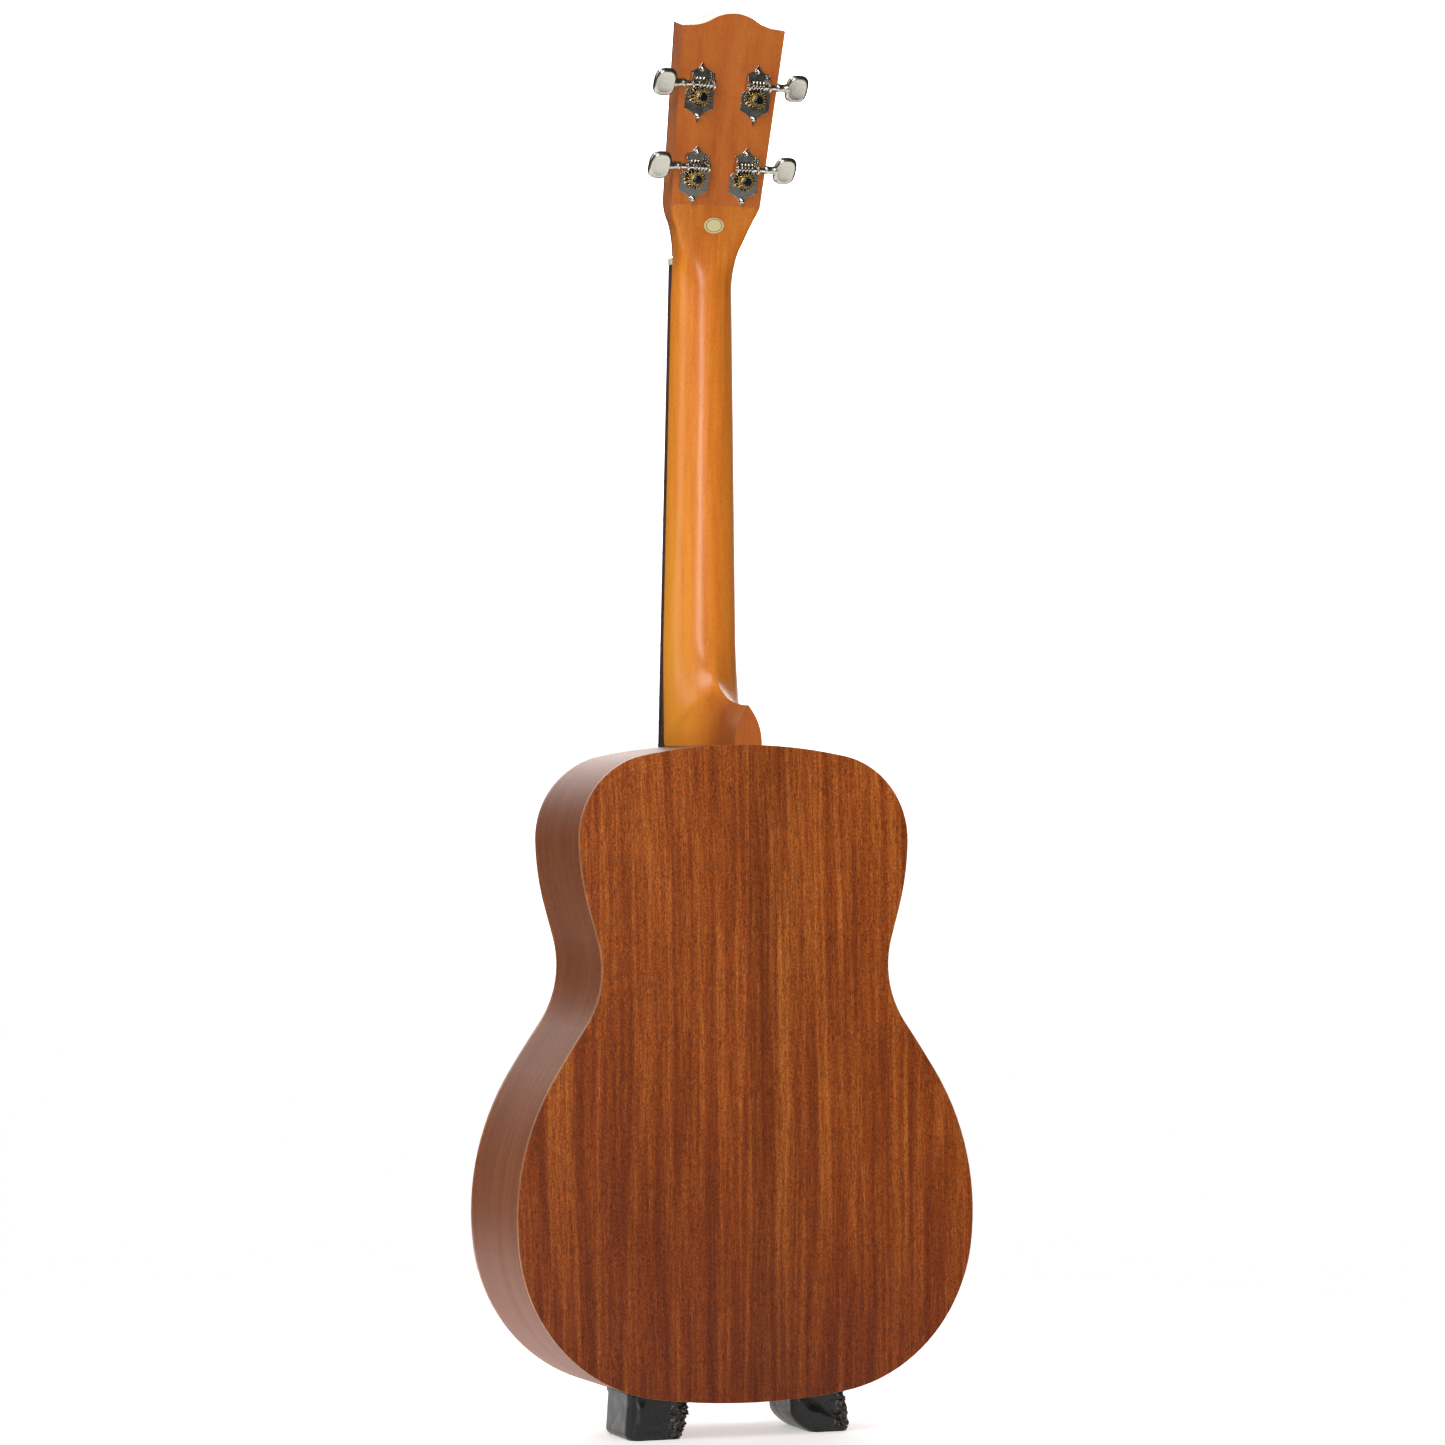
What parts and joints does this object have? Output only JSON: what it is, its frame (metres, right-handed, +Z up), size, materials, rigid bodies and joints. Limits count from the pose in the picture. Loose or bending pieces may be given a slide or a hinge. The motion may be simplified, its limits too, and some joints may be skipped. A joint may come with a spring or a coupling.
{
  "type": "four-string guitar on stand",
  "caption": "Small-bodied wooden guitar with geared tuners, lifted off a low steel rod stand with wrapped block feet.",
  "frame": {"origin": "centre of the bounding box on the floor, under the guitar and its stand", "axes": "+Z up, -Y the side that the guitar's back faces, +Y the side that its strings and the rear foot face, X across the guitar"},
  "size_m": [0.2644, 0.187, 0.7758],
  "materials": {
    "body_wood": "satin ribbon-striped mahogany-like wood",
    "soundboard_wood": "satin",
    "brace_wood": "raw",
    "rosette_inlay": "satin",
    "neck_wood": "satin",
    "head_wood": "satin",
    "dark_wood": "oiled",
    "bone": "polished",
    "pearl": "polished",
    "fret_wire": "polished",
    "strings": "drawn",
    "nickel": "polished nickel",
    "brass": "machined",
    "dark_screw": "gloss black",
    "black_vinyl": "wrinkled",
    "black_steel": "powder coat",
    "black_rubber": "matt"
  },
  "bodies": {
    "stand": {"stand_rod_left": "black_steel", "stand_rod_right": "black_steel", "block_core_left": "brace_wood", "block_core_right": "brace_wood", "block_wrap_left": "black_vinyl", "block_wrap_right": "black_vinyl", "upright_sleeves": "black_rubber", "cross_plate": "black_steel", "rear_strut": "black_steel", "rear_foot": "black_rubber", "stand_screws": "nickel"},
    "tuner_key_1": {"worm_shaft_1": "nickel", "tuning_button_1": "nickel"},
    "tuner_post_1": {"drive_gear_1": "brass", "string_post_1": "nickel", "gear_screw_1": "dark_screw"},
    "tuner_key_2": {"worm_shaft_2": "nickel", "tuning_button_2": "nickel"},
    "tuner_post_2": {"drive_gear_2": "brass", "string_post_2": "nickel", "gear_screw_2": "dark_screw"},
    "tuner_key_3": {"worm_shaft_3": "nickel", "tuning_button_3": "nickel"},
    "tuner_post_3": {"drive_gear_3": "brass", "string_post_3": "nickel", "gear_screw_3": "dark_screw"},
    "tuner_key_4": {"worm_shaft_4": "nickel", "tuning_button_4": "nickel"},
    "tuner_post_4": {"drive_gear_4": "brass", "string_post_4": "nickel", "gear_screw_4": "dark_screw"},
    "guitar": {"back_braces": "brace_wood", "back_plate": "body_wood", "bridge": "dark_wood", "bridge_plate": "brace_wood", "fingerboard": "dark_wood", "frets": "fret_wire", "headstock": "head_wood", "headstock_veneer": "dark_wood", "label_badge": "pearl", "linings": "brace_wood", "neck": "neck_wood", "neck_block": "brace_wood", "nut": "bone", "plate_screws": "nickel", "position_dots": "pearl", "post_bushings": "nickel", "rim_left": "body_wood", "rim_right": "body_wood", "rosette": "rosette_inlay", "saddle": "bone", "soundboard": "soundboard_wood", "strings": "strings", "tail_block": "brace_wood", "top_braces": "brace_wood", "tuner_plate_1": "nickel", "tuner_plate_2": "nickel", "tuner_plate_3": "nickel", "tuner_plate_4": "nickel"}
  },
  "joints": [
    {"name": "guitar_lift", "type": "slide", "parent": "stand", "child": "guitar", "axis": [0, 0.0147, 0.9999], "range_m": [0, 0.15]},
    {"name": "key_turn_1", "type": "hinge", "parent": "guitar", "child": "tuner_key_1", "pos_m": [-0.0146, -0.03979, 0.69001], "axis": [1, 0, 0], "continuous": true},
    {"name": "post_turn_1", "type": "hinge", "parent": "guitar", "child": "tuner_post_1", "pos_m": [-0.0146, -0.0378, 0.68308], "axis": [0, -0.9651, -0.262], "continuous": true},
    {"name": "key_turn_2", "type": "hinge", "parent": "guitar", "child": "tuner_key_2", "pos_m": [-0.0164, -0.05168, 0.73382], "axis": [1, 0, 0], "continuous": true},
    {"name": "post_turn_2", "type": "hinge", "parent": "guitar", "child": "tuner_post_2", "pos_m": [-0.0164, -0.0497, 0.7269], "axis": [0, -0.9651, -0.262], "continuous": true},
    {"name": "key_turn_3", "type": "hinge", "parent": "guitar", "child": "tuner_key_3", "pos_m": [0.0164, -0.05168, 0.73382], "axis": [1, 0, 0], "continuous": true},
    {"name": "post_turn_3", "type": "hinge", "parent": "guitar", "child": "tuner_post_3", "pos_m": [0.0164, -0.0497, 0.7269], "axis": [0, -0.9651, -0.262], "continuous": true},
    {"name": "key_turn_4", "type": "hinge", "parent": "guitar", "child": "tuner_key_4", "pos_m": [0.0146, -0.03979, 0.69001], "axis": [1, 0, 0], "continuous": true},
    {"name": "post_turn_4", "type": "hinge", "parent": "guitar", "child": "tuner_post_4", "pos_m": [0.0146, -0.0378, 0.68308], "axis": [0, -0.9651, -0.262], "continuous": true}
  ],
  "couplings": [
    {"joint": "post_turn_1", "follows": "key_turn_1", "ratio": 0.066667},
    {"joint": "post_turn_2", "follows": "key_turn_2", "ratio": 0.066667},
    {"joint": "post_turn_3", "follows": "key_turn_3", "ratio": -0.066667},
    {"joint": "post_turn_4", "follows": "key_turn_4", "ratio": -0.066667}
  ]
}
